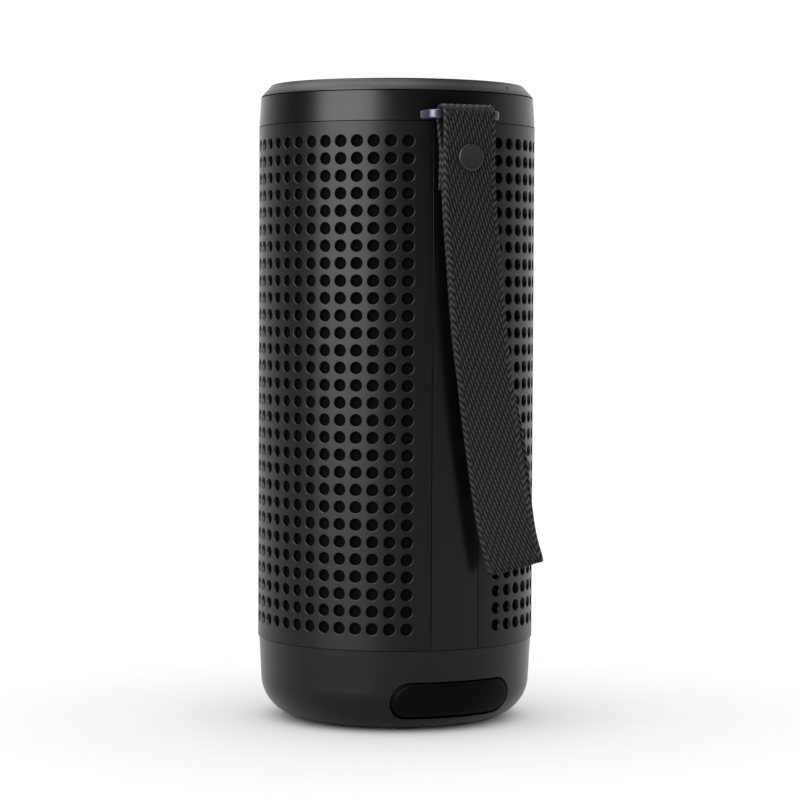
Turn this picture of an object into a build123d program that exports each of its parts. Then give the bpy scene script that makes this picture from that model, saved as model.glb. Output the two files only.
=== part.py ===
from build123d import *
from math import cos, radians, sin
import os

# Portable shower speaker, in millimetres. The origin is at the centre of the rubber foot's
# face, +Z is up, the back (spine, strap and ports) faces -Y and the drivers face +Y.
# Angles round the body are counted from the middle of the spine, positive towards +X.

# ---------- driving dimensions ----------
body_radius = 38.0
body_height = 174.0
base_seam_z = 22.3
top_seam_z = 162.7
seam_gap = 0.2

# upper housing and top ring
band_top_z = 170.55
band_top_radius = 37.5
housing_inner_radius = 33.3
deck_bottom_z = 160.9
deck_top_z = 162.9
ring_bottom_z = 170.85
ring_face_radius = 34.7
ring_inner_radius = 32.1
spigot_radius = 36.85
spigot_inner_radius = 35.7
upper_spigot_bottom_z = 159.6

# top panel and buttons
panel_radius = 31.9
panel_bottom_z = 171.2
panel_top_z = 172.8
button_gap = 0.3
button_top_z = 173.3
flange_top_z = 170.95
flange_bottom_z = 170.3
flange_overlap = 0.9
plunger_bottom_z = 169.95
play_radius = 8.5
volume_inner_radius = 11.6
volume_outer_radius = 22.4
volume_half_angle = 38.0
small_button_radius = 4.2
small_button_circle = 25.0
small_button_angle = 34.0
symbol_height = 0.2

# grille
grille_thickness = 1.0
grille_edge_angle = 10.6
hole_diameter = 3.15
hole_rows = 29
hole_columns = 47
hole_first_z = 28.2
hole_last_z = 157.3
hole_first_angle = 20.45

# spine and acoustic cloth
spine_half_angle = 10.3
spine_flange_angle = 13.0
cloth_inner_radius = 36.4
cloth_outer_radius = 36.85
cloth_bottom_z = 25.9
cloth_top_z = 159.3
cloth_half_angle = 13.6

# base
base_seam_radius = 37.7
base_waist_radius = 37.1
base_waist_z = 11.4
base_underside_z = 0.5
base_curve_radial = 10.8
base_wall = 2.2
foot_radius = 25.0
foot_height = 1.5
floor_top_z = 3.0
lower_spigot_top_z = 25.4

# port cover and ports
port_angle = 2.3
port_z = 8.8
port_width = 35.3
port_height = 9.6
port_gap = 0.35
cover_thickness = 1.3
recess_depth = 2.1
cover_fold_x = -13.6
cover_fold_half_gap = 0.3
anchor_x = -15.9
ports_face_y = -32.1
jack_face_y = -29.5
usb_x = -7.6
card_x = 4.4
jack_x = 14.2
port_wall_radius = 32.4
post_radius = 4.2
jack_bore_radius = 1.8

# strap and its bracket
bar_z = 164.1
bar_height = 2.4
bar_front_y = -43.3
bar_thickness = 1.8
bar_edge_radius = 0.5
bracket_half_width = 10.3
leg_end_y = -23.5
strap_width = 15.0
strap_thickness = 1.3
strap_front_y = -45.35
strap_tail_y = -41.35
strap_tail_bottom_z = 144.0
strap_eye_radius = 1.5
rivet_z = 152.8
rivet_radius = 3.6
rivet_shank_radius = 1.4

# inner chassis
chassis_radius = 35.5
chassis_wall = 2.0
chassis_bottom_z = 24.0
chassis_top_z = 160.0
baffle_y = 27.0
side_x = 29.0
chassis_split_y = -17.5

# drivers and passive radiators
driver_heights = {"upper": 120.0, "lower": 66.0}
driver_flange_radius = 21.0
driver_cutout_radius = 18.4
cone_radius = 14.2
surround_outer_radius = 17.8
radiator_z = 92.0
radiator_y = 1.5
radiator_width = 31.0
radiator_length = 66.0

# power, boards and screws
cell_radius = 9.25
cell_length = 65.0
cell_x = 10.2
cell_y = -20.0
cell_bottom_z = 60.0
board_bottom_z = 5.57
board_thickness = 1.6
board_radius = 30.0
key_board_bottom_z = 166.9
key_board_thickness = 1.0
key_board_radius = 28.5
post_circle = 20.0
screw_radius = 1.0
post_screw_radius = 1.4
thread_gap = 0.05

board_top_z = board_bottom_z + board_thickness
key_board_top_z = key_board_bottom_z + key_board_thickness
down = (Align.CENTER, Align.CENTER, Align.MIN)

nodes = {}


# ---------- helpers ----------
def add(name, *solids):
    """File one or more solids under a node's name."""
    found = nodes.setdefault(name, [])
    for solid in solids:
        found.extend(solid.solids())


def disc(radius, low, high, x=0.0, y=0.0):
    """Upright cylinder between two heights."""
    return Pos(x, y, low) * Cylinder(radius, high - low, align=down)


def tube(outer, inner, low, high, x=0.0, y=0.0):
    """Upright tube between two heights."""
    return disc(outer, low, high, x, y) - disc(inner, low - 1, high + 1, x, y)


def block(x0, x1, y0, y1, z0, z1):
    """Box from its low and high corners."""
    centre = Pos((x0 + x1) / 2, (y0 + y1) / 2, (z0 + z1) / 2)
    return centre * Box(x1 - x0, y1 - y0, z1 - z0)


def rod(radius, y0, y1, x, z):
    """Cylinder that lies along Y."""
    return Pos(x, y0, z) * Rot(-90, 0, 0) * Cylinder(radius, y1 - y0, align=down)


def turned(points):
    """Solid of revolution about Z from (radius, z) corners."""
    face = Plane.XZ * make_face(Polyline(*points, close=True))
    return revolve(face, Axis.Z, 360)


def sector(half_angle, radius, low, high):
    """Wedge about the spine, out to a radius, used to cut or keep part of a ring."""
    x, y = radius * sin(radians(half_angle)), radius * cos(radians(half_angle))
    face = make_face(Polyline((0, 0), (x, -y), (-x, -y), close=True))
    return Pos(0, 0, low) * extrude(face, high - low)


def around(radius, angles):
    """Points on a circle at some angles from +X."""
    return [(radius * cos(radians(a)), radius * sin(radians(a))) for a in angles]


def stadium(width, height, depth):
    """Prism with round ends: width along X, height along Z, running from y = 0 to y = depth."""
    return Rot(-90, 0, 0) * extrude(SlotOverall(width, height), depth)


def side_stadium(length, width, x0, x1, y, z):
    """Prism with round ends that faces X, its length along Z."""
    low, high = min(x0, x1), max(x0, x1)
    face = SlotOverall(length, width)
    return Pos(low, y, z) * Rot(0, 90, 0) * extrude(face, high - low)


def cap_screw(head_radius, head, shank_radius, shank):
    """Screw with its head's underside at z = 0, pointing down, with a cross recess."""
    screw = disc(head_radius, 0, head) + disc(shank_radius, -shank, 0)
    recess = Box(head_radius * 1.1, 0.5, head) + Box(0.5, head_radius * 1.1, head)
    return screw - Pos(0, 0, head) * recess


def base_solid(offset):
    """The base's outer shape as one solid, moved inwards by an offset."""
    inner = base_waist_radius - base_curve_radial
    low = base_underside_z + max(offset, 0)
    waist = (base_waist_radius - offset, base_waist_z)
    shoulder = (inner, base_waist_z)
    high = base_curve_radial - offset
    curve = EllipticalCenterArc(shoulder, high, base_waist_z - low, -90, arc_size=90)
    outline = Polyline((inner, low), (0, low), (0, base_seam_z),
                       (base_seam_radius - offset, base_seam_z), waist)
    return revolve(Plane.XZ * make_face([curve, outline]), Axis.Z, 360)


# ---------- upper housing ----------
band = turned([(housing_inner_radius, deck_bottom_z), (spigot_radius, deck_bottom_z),
               (spigot_radius, top_seam_z), (body_radius, top_seam_z),
               (band_top_radius, band_top_z), (band_top_radius - 0.6, band_top_z),
               (band_top_radius - 0.6, ring_bottom_z), (33.35, ring_bottom_z),
               (33.35, panel_bottom_z), (30.4, panel_bottom_z), (30.4, 170.0),
               (housing_inner_radius, 168.6)])
spigot = tube(spigot_radius, spigot_inner_radius, upper_spigot_bottom_z, deck_bottom_z)
housing = band + spigot + disc(housing_inner_radius, deck_bottom_z, deck_top_z)

key_posts = around(25.5, (30, 150, 210, 330))
for x, y in key_posts:
    housing += tube(2.2, screw_radius + thread_gap, deck_bottom_z, key_board_bottom_z, x, y)
deck_screw_points = around(post_circle, (45, 135, 225, 315))
for x, y in deck_screw_points:
    housing -= disc(post_screw_radius + 0.2, 155, 165, x, y)

# slots for the bracket's legs, and pilot holes for its screws
leg_x = bracket_half_width - bar_thickness / 2
bracket_pads = [(side * (leg_x + 1.9), leg_end_y - 3.0) for side in (-1, 1)]
for side in (-1, 1):
    x0, x1 = sorted((side * (leg_x - 1.0), side * (leg_x + 1.0)))
    housing -= block(x0, x1, -40, leg_end_y, deck_top_z, bar_z + bar_height / 2 + 0.1)
for x, y in bracket_pads:
    housing -= disc(screw_radius + thread_gap, 160, 164, x, y)

# ribbon slot in the deck, and the microphone's pocket in the wall
housing -= block(-4.6, 4.6, -4.7, -3.2, 160, 164)
mic_angle = 29.4
mic_turn = Rot(0, 0, mic_angle)
housing -= mic_turn * block(-2.0, 2.0, -36.6, -33.7, 169.6, 171)
add("upper_housing", housing)

# ---------- top ring ----------
ring = turned([(33.4, ring_bottom_z), (band_top_radius - 0.05, ring_bottom_z),
               (band_top_radius - 0.1, 171.0), (ring_face_radius, body_height),
               (ring_inner_radius + 0.4, body_height), (ring_inner_radius, body_height - 0.4),
               (ring_inner_radius, panel_bottom_z + 0.02), (33.4, panel_bottom_z + 0.02)])
mic_hole_radius = 0.45
ring -= mic_turn * disc(mic_hole_radius, 170, 175, 0, -36.2)
add("top_bezel", ring)
add("microphone", mic_turn * (block(-1.75, 1.75, -36.4, -33.9, 169.65, 170.7)
                              - disc(0.4, 170.3, 171, 0, -36.2)))


# ---------- top panel and buttons ----------
def volume_outline(grow):
    """Face of a volume button: a ring sector with rounded corners, on the +X side."""
    inner, outer = volume_inner_radius - grow, volume_outer_radius + grow
    ring_face = Circle(outer) - Circle(inner)
    edge = volume_half_angle
    reach = 2 * outer
    x, y = reach * cos(radians(edge)), reach * sin(radians(edge))
    wedge = make_face(Polyline((0, 0), (x, -y), (x, y), close=True))
    shape = ring_face & (Pos(-grow / sin(radians(edge)), 0) * wedge)
    return fillet(shape.vertices(), 2.0 + grow)


def button(face, flange_face, plunger):
    """Cap through the panel, flange that holds it in, and a plunger over its switch."""
    cap = Pos(0, 0, flange_top_z) * extrude(face, button_top_z - flange_top_z)
    top_edges = cap.edges().group_by(Axis.Z)[-1]
    cap = fillet(top_edges, 0.35)
    flange = Pos(0, 0, flange_bottom_z) * extrude(flange_face, flange_top_z - flange_bottom_z)
    x, y = plunger
    return cap + flange + disc(1.5, plunger_bottom_z, flange_bottom_z, x, y)


def symbol(face, x=0.0, y=0.0, turn=0.0):
    """Raised mark on a button's cap."""
    low = button_top_z - 0.05
    return Pos(x, y, low) * Rot(0, 0, turn) * extrude(face, symbol_height + 0.05)


small_points = around(small_button_circle, (90 - small_button_angle, 90 + small_button_angle))
pairing_point, power_point = small_points
volume_x = (volume_inner_radius + volume_outer_radius) / 2

panel = disc(panel_radius, panel_bottom_z, panel_top_z)
panel = chamfer(panel.edges().group_by(Axis.Z)[-1], 0.25)
panel -= disc(play_radius + button_gap, 170, 175)
volume_hole = Pos(0, 0, 170) * extrude(volume_outline(button_gap), 5)
panel -= volume_hole
panel -= Rot(0, 0, 180) * volume_hole
for x, y in small_points:
    panel -= disc(small_button_radius + button_gap, 170, 175, x, y)
light_y = 27.6
light_face = SlotOverall(6.0, 1.6)
panel -= Pos(0, light_y, 170) * extrude(light_face, 5)
add("top_panel", panel)
light = Pos(0, light_y, 170.4) * extrude(light_face, panel_top_z - 170.4 - 0.1)
add("status_light", scale(light, (0.99, 0.97, 1)))

play = button(Circle(play_radius), Circle(play_radius + flange_overlap), (0, 0))
triangle = make_face(Polyline((-3.2, 2.2), (-3.2, -2.2), (0.4, 0), close=True))
play += symbol(triangle)
play += symbol(Rectangle(0.8, 4.4), 1.9)
play += symbol(Rectangle(0.8, 4.4), 3.6)
# marks read right way up from the +Y side, where the listener sits
add("play_button", Rot(0, 0, 180) * play)

plus = symbol(Rectangle(4.2, 0.8), volume_x) + symbol(Rectangle(0.8, 4.2), volume_x)
volume = button(volume_outline(0), volume_outline(flange_overlap), (volume_x, 0))
add("volume_down_button", volume + symbol(Rectangle(4.2, 0.8), volume_x))
add("volume_up_button", Rot(0, 0, 180) * (volume + plus))

small = button(Circle(small_button_radius), Circle(small_button_radius + flange_overlap), (0, 0))
power_mark = (Circle(1.9) - Circle(1.35)) - Pos(0, 1.9) * Rectangle(1.5, 1.6)
power_mark += Pos(0, 1.3) * Rectangle(0.6, 2.0)
x, y = power_point
add("power_button", Pos(x, y, 0) * Rot(0, 0, 180) * (small + symbol(power_mark)))
x, y = pairing_point
waves = Pos(0, -1.4) * Circle(0.5)
for radius in (1.6, 2.8):
    arc_ring = Circle(radius) - Circle(radius - 0.5)
    fan = make_face(Polyline((0, 0), (-4, 4), (4, 4), close=True))
    waves += Pos(0, -1.4) * (arc_ring & fan)
add("pairing_button", Pos(x, y, 0) * Rot(0, 0, 180) * (small + symbol(waves)))

# key board, switches under each plunger, and the screws that hold the board
key_board = disc(key_board_radius, key_board_bottom_z, key_board_top_z)
for x, y in key_posts:
    key_board -= disc(screw_radius + 0.1, 166, 169, x, y)
    add("key_board_screws",
        Pos(x, y, key_board_top_z) * cap_screw(1.8, 1.1, screw_radius, 4.5))
add("key_board", key_board)
switch_points = [(0, 0), (volume_x, 0), (-volume_x, 0), *small_points]
for x, y in switch_points:
    body = block(x - 2.25, x + 2.25, y - 2.25, y + 2.25, key_board_top_z, 168.9)
    add("tact_switches", body + disc(1.1, 168.9, 169.35, x, y))


# ---------- grille, cloth and spine ----------
def grille_solid():
    """Perforated sheet rolled into an open ring."""
    low, high = base_seam_z + seam_gap, top_seam_z - seam_gap
    sheet = tube(body_radius, body_radius - grille_thickness, low, high)
    sheet -= sector(grille_edge_angle, 80, low - 1, high + 1)
    hole = Rot(90, 0, 0) * Cylinder(hole_diameter / 2, 4)
    row_pitch = (hole_last_z - hole_first_z) / (hole_rows - 1)
    column_pitch = (360 - 2 * hole_first_angle) / (hole_columns - 1)
    holes = []
    for column in range(hole_columns):
        for row in range(hole_rows):
            turn = Rot(0, 0, hole_first_angle + column * column_pitch)
            holes.append(turn * Pos(0, -body_radius, hole_first_z + row * row_pitch) * hole)
    return sheet.cut(*holes)


add("grille", grille_solid())

cloth = tube(cloth_outer_radius, cloth_inner_radius, cloth_bottom_z, cloth_top_z)
add("grille_cloth", cloth - sector(cloth_half_angle, 80, 20, 165))

spine_low, spine_high = base_seam_z + seam_gap, top_seam_z - seam_gap
outer_strip = tube(body_radius, body_radius - 1.1, spine_low, spine_high)
outer_strip &= sector(spine_half_angle, 80, 20, 165)
flange = tube(body_radius - 1.05, chassis_radius + 0.03, lower_spigot_top_z + 0.3,
              upper_spigot_bottom_z - 0.3)
flange &= sector(spine_flange_angle, 80, 20, 165)
add("spine_cover", outer_strip + flange)

# ---------- base ----------
base = base_solid(0)
hollow = base_solid(base_wall) & disc(33.0, floor_top_z, 30)
port_block = (base_solid(0) - disc(port_wall_radius, 0, 30)) & disc(40, 1.0, 16.0)
port_block &= Rot(0, 0, port_angle) * sector(34.0, 80, 0, 30)
base = (base - hollow) + port_block
base += tube(base_waist_radius - 0.5, 33.0, 18.0, base_seam_z)
base += tube(spigot_radius, chassis_radius + 0.2, base_seam_z, lower_spigot_top_z)
base += tube(chassis_radius + 0.3, 33.0, base_seam_z, base_seam_z + 0.6)
base -= disc(foot_radius + 0.1, base_underside_z - 1, foot_height)
base = base.solids().sort_by(SortBy.VOLUME)[-1]

for x, y in deck_screw_points:
    base += disc(post_radius, floor_top_z - 0.5, chassis_bottom_z, x, y)
    base -= disc(post_screw_radius + 0.2, 0, 25, x, y)
    base -= disc(3.0, 0, 16.0, x, y)
board_screw_points = [(-25.5, 0), (25.5, 0), (0, 25.5)]
for x, y in board_screw_points:
    base += disc(2.4, floor_top_z - 0.5, board_bottom_z, x, y)
    base -= disc(screw_radius + thread_gap, 2.0, 6.0, x, y)

# recess for the port cover, and the windows behind it
port_turn = Rot(0, 0, port_angle)
recess_prism = port_turn * Pos(0, -45, port_z) * stadium(port_width + 2 * port_gap,
                                                         port_height + 2 * port_gap, 22)
base -= recess_prism - base_solid(recess_depth)
base -= Pos(usb_x, -40, port_z) * stadium(9.4, 3.7, 15)
base -= rod(3.3, -40, -25, jack_x, port_z)
base -= block(card_x - 6.1, card_x + 6.1, -40, -25, board_top_z - 0.02, board_top_z + 1.75)

# hole for the plug that holds the cover's fixed end
plug_hole = port_turn * rod(1.05, -40, -30.2, anchor_x, port_z)
base -= plug_hole
add("base_housing", base)

foot = disc(foot_radius, 0, foot_height)
foot = chamfer(foot.edges().group_by(Axis.Z)[0], 0.4)
for radius in (8.0, 14.0, 20.0):
    foot -= tube(radius + 0.6, radius - 0.6, -1, 0.35)
add("base_foot", foot)

# ---------- port cover ----------
cover_prism = port_turn * Pos(0, -45, port_z) * stadium(port_width, port_height, 22)
skin = (base_solid(0) - base_solid(cover_thickness)) & cover_prism
fold = port_turn * block(cover_fold_x - cover_fold_half_gap, cover_fold_x + cover_fold_half_gap,
                         -60, 0, 0, 20)
right_of_fold = port_turn * block(cover_fold_x, 40, -60, 0, 0, 20)
cover = (skin - fold) & right_of_fold
anchor = (skin - fold) - right_of_fold


def cover_plug(shape, x, bottom_y):
    """Short plug on the cover's inner face, pointing into one port."""
    return (Pos(x, -40, port_z) * shape) & base_solid(cover_thickness - 0.3) \
        & block(-30, 30, -60, bottom_y, 0, 20)


cover += cover_plug(stadium(6.8, 1.5, 20), usb_x, ports_face_y + 0.9)
cover += cover_plug(Rot(-90, 0, 0) * Cylinder(1.1, 20, align=down), jack_x, jack_face_y + 0.6)
anchor += (port_turn * rod(1.0, -40, -30.4, anchor_x, port_z)) & base_solid(cover_thickness - 0.3)
add("port_cover", cover)
add("port_cover_anchor", anchor)

# ---------- strap bracket ----------
inner_half = bracket_half_width - bar_thickness
outline = block(-bracket_half_width, bracket_half_width, bar_front_y, leg_end_y,
                bar_z - bar_height / 2, bar_z + bar_height / 2)
outline = fillet(outline.edges().filter_by(Axis.Z).group_by(Axis.Y)[0], 2.4)
gap = block(-inner_half, inner_half, bar_front_y + bar_thickness, leg_end_y + 1,
            bar_z - bar_height, bar_z + bar_height)
gap = fillet(gap.edges().filter_by(Axis.Z).group_by(Axis.Y)[0], 0.9)
bracket = outline - gap
bar_edges = [edge for edge in bracket.edges().filter_by(Axis.X)
             if edge.center().Y < bar_front_y + bar_thickness + 0.1]
bracket = fillet(bar_edges, bar_edge_radius)
for (x, y), side in zip(bracket_pads, (-1, 1)):
    bracket += block(x - 2.6, x + 2.6, y - 3.0, y + 3.0, bar_z - bar_height / 2,
                     bar_z + bar_height / 2)
    bracket -= disc(screw_radius + 0.1, 160, 168, x, y)
    add("bracket_screws",
        Pos(x, y, bar_z + bar_height / 2) * cap_screw(1.8, 1.1, screw_radius, 4.0))
add("strap_bracket", bracket)

# ---------- strap ----------
# Middle line of the hanging strap from the rivet down: x, distance out from the body's axis,
# z, and the twist of its width about the vertical (its right edge turns outwards).
strap_line = [
    (0.0, 44.05, 160.0, 0.0),
    (0.0, 44.05, 150.0, 0.0),
    (0.3, 44.15, 141.0, 1.5),
    (1.75, 44.2, 125.0, 4.8),
    (3.4, 44.2, 107.0, 8.6),
    (5.7, 44.2, 89.0, 13.0),
    (8.4, 44.4, 72.0, 20.0),
    (10.7, 44.6, 58.6, 25.5),
    (12.3, 44.7, 51.6, 26.5),
    (14.4, 44.8, 44.6, 27.0),
]
double = 2 * strap_thickness


def strap_sections():
    """Rectangles across the hanging strap, each square to the line it follows."""
    faces = []
    for index, (x, out, z, twist) in enumerate(strap_line):
        before = strap_line[max(index - 1, 0)]
        after = strap_line[min(index + 1, len(strap_line) - 1)]
        along = Vector(before[0] - after[0], after[1] - before[1], before[2] - after[2])
        width_way = Vector(cos(radians(twist)), -sin(radians(twist)), 0)
        width_way = width_way - along * (width_way.dot(along) / along.dot(along))
        plane = Plane(origin=(x, -out, z), x_dir=width_way, z_dir=along)
        faces.append(plane * Rectangle(strap_width, double))
    return faces


hanging = loft(strap_sections())

# loop round the bar: its eye is round, so that the strap turns freely on the bar
bar_mid_y = bar_front_y + bar_thickness / 2
loop_top = bar_z + strap_eye_radius + strap_thickness
rear_y = bar_mid_y + strap_eye_radius + strap_thickness
loop = block(-strap_width / 2, strap_width / 2, strap_front_y, rear_y, 158.0, loop_top)
crown = loop.edges().filter_by(Axis.X).group_by(Axis.Z)[-1]
loop = fillet(crown, 1.6)
eye = Rot(0, 90, 0) * Cylinder(strap_eye_radius, 30)
loop -= Pos(0, bar_mid_y, bar_z) * eye
tail = make_face(Polyline((rear_y, 158.4), (-44.0, 158.4), (-44.0, strap_tail_bottom_z),
                          (strap_tail_y, strap_tail_bottom_z), (strap_tail_y, 156.9),
                          close=True))
tail = Pos(-strap_width / 2, 0, 0) * extrude(Plane.YZ * tail, strap_width)
strap = hanging + loop + tail
rivet_y0, rivet_y1 = strap_front_y - 0.15, strap_tail_y
strap -= rod(rivet_shank_radius + thread_gap, -50, -38, 0, rivet_z)
add("strap_webbing", strap)

cap = rod(rivet_radius, rivet_y0 - 0.75, rivet_y0 + 0.1, 0, rivet_z)
cap = fillet(cap.edges().group_by(Axis.Y)[0], 0.4)
cap += rod(rivet_shank_radius, rivet_y0, rivet_y1 + 0.5, 0, rivet_z)
add("strap_rivet_cap", cap)
back = rod(rivet_radius, rivet_y1 + 0.05, rivet_y1 + 0.75, 0, rivet_z)
back -= rod(rivet_shank_radius + 0.02, -45, rivet_y1 + 0.55, 0, rivet_z)
back = fillet(back.edges().group_by(Axis.Y)[-1], 0.3)
add("strap_rivet_back", back)


# ---------- inner chassis ----------
def chassis_section(offset):
    """Round outline cut flat for the baffle and for the two side radiators."""
    flats = Pos(0, (baffle_y - 60) / 2) * Rectangle(2 * (side_x - offset),
                                                   baffle_y + 60 - 2 * offset)
    return Circle(chassis_radius - offset) & flats


outer_body = Pos(0, 0, chassis_bottom_z) * extrude(chassis_section(0), 136)
end_plate = 2.0
inner_body = Pos(0, 0, chassis_bottom_z + end_plate) * extrude(
    chassis_section(chassis_wall), 136 - 2 * end_plate)
chassis = outer_body - inner_body
chassis += disc(chassis_radius, chassis_bottom_z, chassis_bottom_z + end_plate)
chassis += disc(chassis_radius, chassis_top_z - end_plate, chassis_top_z)
for x, y in deck_screw_points:
    for low, high in ((25, 36), (149, 159)):
        chassis += disc(3.5, low, high, x, y)
    chassis -= disc(post_screw_radius + thread_gap, 20, 35, x, y)
    chassis -= disc(post_screw_radius + thread_gap, 150, 165, x, y)

# openings for the drivers, the radiators, the ribbon and the battery lead
for z in driver_heights.values():
    chassis -= rod(driver_cutout_radius, 20, 40, 0, z)
    for sx in (-1, 1):
        for sz in (-1, 1):
            chassis -= rod(screw_radius + thread_gap, 20, 40, sx * 13.8, z + sz * 13.8)
for side in (-1, 1):
    chassis -= side_stadium(radiator_length - 4, radiator_width - 4, side * 20, side * 40,
                            radiator_y, radiator_z)
chassis -= block(-4.6, 4.6, -4.7, -3.2, 20, 165)
lead_points = [(-1.2, -8.2), (1.2, -8.2)]
chassis -= block(-3.0, 3.0, -9.2, -7.2, 20, 30)

# bosses where screws pull the rear half onto the front half
boss_points = [(side * 25.0, z) for side in (-1, 1) for z in (40.0, 144.0)]
seat_y = -21.5
for x, z in boss_points:
    boss = rod(3.2, -30, -8.0, x, z) & outer_body
    chassis += boss
    chassis -= rod(2.3, -40, seat_y, x, z)
    chassis -= rod(screw_radius + thread_gap, -30, -10.0, x, z)
    screw = Rot(90, 0, 0) * cap_screw(2.0, 1.2, screw_radius, 11.0)
    add("chassis_screws", Pos(x, seat_y, z) * screw)
rear_space = block(-50, 50, -60, chassis_split_y, 0, 200)
add("chassis_rear", chassis & rear_space)
add("chassis_front", chassis - rear_space)

add("upper_seal", tube(34.4, 32.4, chassis_top_z, deck_bottom_z))
add("lower_seal", tube(35.2, 33.2, base_seam_z + 0.6, chassis_bottom_z))


# ---------- drivers ----------
def driver_profile(points, z):
    """Solid of revolution about a driver's axis from (radius, y) corners."""
    face = make_face(Polyline(*points, close=True))
    return Pos(0, 0, z) * revolve(face, Axis.Y, 360)


for place, z in driver_heights.items():
    frame = driver_profile([(17.9, 27.05), (driver_flange_radius, 27.05),
                            (driver_flange_radius, 28.6), (16.9, 28.6), (16.9, 27.6),
                            (15.6, 22.0), (13.2, 17.4), (7.6, 17.4), (7.6, 16.0),
                            (13.9, 16.0), (17.0, 21.6), (17.9, 26.0)], z)
    for turn in range(6):
        window = Rot(0, turn * 60, 0) * Pos(14.8, 0, 0) * Box(7, 40, 6.4)
        frame -= Pos(0, 0, z) * (window & rod(40, 17.9, 24.6, 0, 0))
    for sx in (-1, 1):
        for sz in (-1, 1):
            x, height = sx * 13.8, z + sz * 13.8
            frame -= rod(screw_radius + 0.1, 26, 30, x, height)
            screw = Rot(-90, 0, 0) * cap_screw(1.7, 1.0, screw_radius, 3.6)
            add("driver_screws", Pos(x, 28.6, height) * screw)
    add(f"{place}_driver_frame", frame)
    magnet = rod(12.5, 6.5, 14.5, 0, z) + rod(10.5, 14.5, 15.95, 0, z)
    magnet -= rod(7.2, 9.5, 17, 0, z) - rod(5.5, 9.5, 17, 0, z)
    add(f"{place}_driver_magnet", magnet)
    cone = driver_profile([(0, 25.3), (3.0, 24.9), (6.2, 23.4), (cone_radius - 0.5, 27.9),
                           (cone_radius, 27.9), (cone_radius, 27.0), (6.6, 22.2), (6.6, 12.5),
                           (6.1, 12.5), (6.1, 22.7), (2.8, 24.2), (0, 24.6)], z)
    add(f"{place}_driver_cone", cone)
    middle = (surround_outer_radius - 1.0 + cone_radius) / 2
    half = (surround_outer_radius - 1.0 - cone_radius) / 2
    roll_outer = Pos(middle, 28.65) * Circle(half)
    roll_inner = Pos(middle, 28.65) * Circle(half - 0.4)
    above = Pos(middle, 38.65) * Rectangle(20, 20)
    roll = ((roll_outer - roll_inner) & above)
    lip = Pos(surround_outer_radius - 0.75, 28.85) * Rectangle(1.3, 0.4)
    inner_lip = Pos(cone_radius - 0.6, 28.3) * Rectangle(1.8, 0.75)
    face = roll + lip
    surround = revolve(face, Axis.Y, 360) + revolve(inner_lip, Axis.Y, 360)
    add(f"{place}_driver_surround", Pos(0, 0, z) * surround)

# ---------- passive radiators ----------
for side, name in ((-1, "left"), (1, "right")):
    plate = side_stadium(radiator_length - 20, radiator_width - 14, side * 27.8, side * 30.8,
                         radiator_y, radiator_z)
    add(f"{name}_radiator_plate", plate)
    rim = side_stadium(radiator_length, radiator_width, side * 29.03, side * 31.0,
                       radiator_y, radiator_z)
    outer_face = rim.faces().sort_by(Axis.X)[-1 if side > 0 else 0]
    rim = fillet(outer_face.outer_wire().edges(), 1.6)
    rim -= side_stadium(radiator_length - 19.6, radiator_width - 13.6, side * 20, side * 40,
                        radiator_y, radiator_z)
    rim -= side_stadium(radiator_length - 6, radiator_width - 6, side * 28, side * 30.3,
                        radiator_y, radiator_z)
    add(f"{name}_radiator_surround", rim)

# ---------- battery ----------
holder = block(-21.0, 21.0, -28.6, -9.6, 57.0, 128.0)
holder &= disc(33.3, 50, 140)
for side in (-1, 1):
    space = disc(cell_radius + 0.2, cell_bottom_z - 0.3, cell_bottom_z + cell_length + 0.3,
                 side * cell_x, cell_y)
    holder -= space
    x0, x1 = sorted((side * 3.0, side * 30.0))
    holder -= block(x0, x1, -40, cell_y, 60.0, 125.0)
    cell = disc(cell_radius, cell_bottom_z, cell_bottom_z + cell_length, side * cell_x, cell_y)
    cell = fillet(cell.edges(), 0.8)
    add("battery_cells", cell)
holder -= block(-3.0, 3.0, -40, -24.0, 50, 140)
add("battery_holder", holder)

# the lead drops straight from the holder to its plug on the main board
plug_top = board_top_z + 3.0
for x, y in lead_points:
    add("battery_lead", disc(0.65, plug_top, 57.0, x, y))
add("battery_lead", block(-2.6, 2.6, -9.8, -6.6, board_top_z, plug_top))

# ---------- main board and ports ----------
board = disc(board_radius, board_bottom_z, board_top_z)
for x, y in deck_screw_points:
    board -= disc(post_radius + 0.4, 0, 10, x, y)
for x, y in board_screw_points:
    board -= disc(screw_radius + 0.1, 0, 10, x, y)
    add("board_screws", Pos(x, y, board_top_z) * cap_screw(1.8, 1.1, screw_radius, 4.4))
board -= block(jack_x - 3.2, jack_x + 3.2, -40, -18.4, 0, 10)
add("main_board", board)

shell = Pos(usb_x, ports_face_y, port_z) * stadium(8.94, 3.26, 7.3)
shell -= Pos(usb_x, ports_face_y - 1, port_z) * stadium(8.34, 2.66, 7.6)
tongue = block(usb_x - 3.35, usb_x + 3.35, ports_face_y + 0.9, ports_face_y + 6.8,
               port_z - 0.35, port_z + 0.35)
add("usb_socket", shell + tongue)
jack = block(jack_x - 3.0, jack_x + 3.0, -27.2, -18.6, port_z - 2.5, port_z + 2.5)
jack += rod(3.1, jack_face_y, -27.1, jack_x, port_z)
jack -= rod(jack_bore_radius, -40, -19.2, jack_x, port_z)
add("aux_jack", jack)
slot = block(card_x - 6.0, card_x + 6.0, ports_face_y, -18.0, board_top_z,
             board_top_z + 1.6)
slot -= block(card_x - 5.6, card_x + 5.6, -40, -18.8, board_top_z + 0.3, board_top_z + 1.25)
add("card_slot", slot)

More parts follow.
